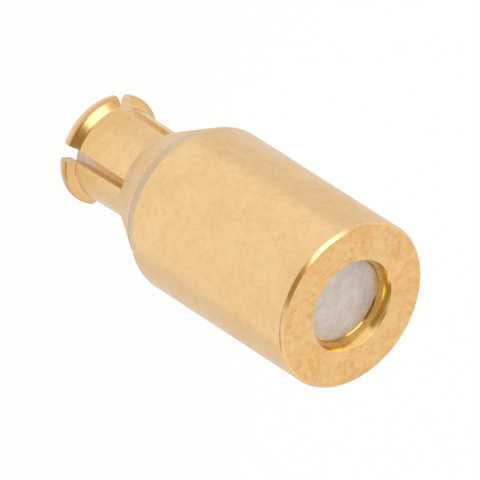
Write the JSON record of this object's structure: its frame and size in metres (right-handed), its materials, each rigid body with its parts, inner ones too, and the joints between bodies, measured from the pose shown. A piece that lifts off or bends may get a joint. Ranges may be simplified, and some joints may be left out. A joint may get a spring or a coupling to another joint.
{
  "type": "rf coaxial connector",
  "caption": "Small gold-plated push-on coaxial load with a slotted snap collet nose, a round body and a closed rear with a recessed grey plug.",
  "frame": {"origin": "on the axis at the front of the snap collet, where the load stands on its finger tips", "axes": "+Z along the axis from the collet to the rear face with the grey plug; +X and +Y through two neighbouring slots of the collet"},
  "size_m": [0.005, 0.005, 0.0109],
  "materials": {
    "gold_plated_spring_copper": "satin gold plate on a turned surface",
    "gold_plated_brass": "satin gold plate on a turned surface",
    "solder": "dull grey solder",
    "white_fluoropolymer": "white, slightly waxy",
    "gold_plated_contact": "bright gold plate",
    "white_ceramic": "white fired ceramic",
    "tinned_cap": "bright tin plate",
    "plain_brass": "turned",
    "matt_grey_plug": "matt grey, mottled"
  },
  "bodies": {
    "root": {"collet": "gold_plated_spring_copper", "shell": "gold_plated_brass", "seam_ring": "solder", "front_bead": "white_fluoropolymer", "rear_bead": "white_fluoropolymer", "centre_contact": "gold_plated_contact", "resistor_rod": "white_ceramic", "resistor_front_cap": "tinned_cap", "resistor_rear_cap": "tinned_cap", "load_sleeve": "plain_brass", "rear_plug": "matt_grey_plug"}
  },
  "joints": []
}
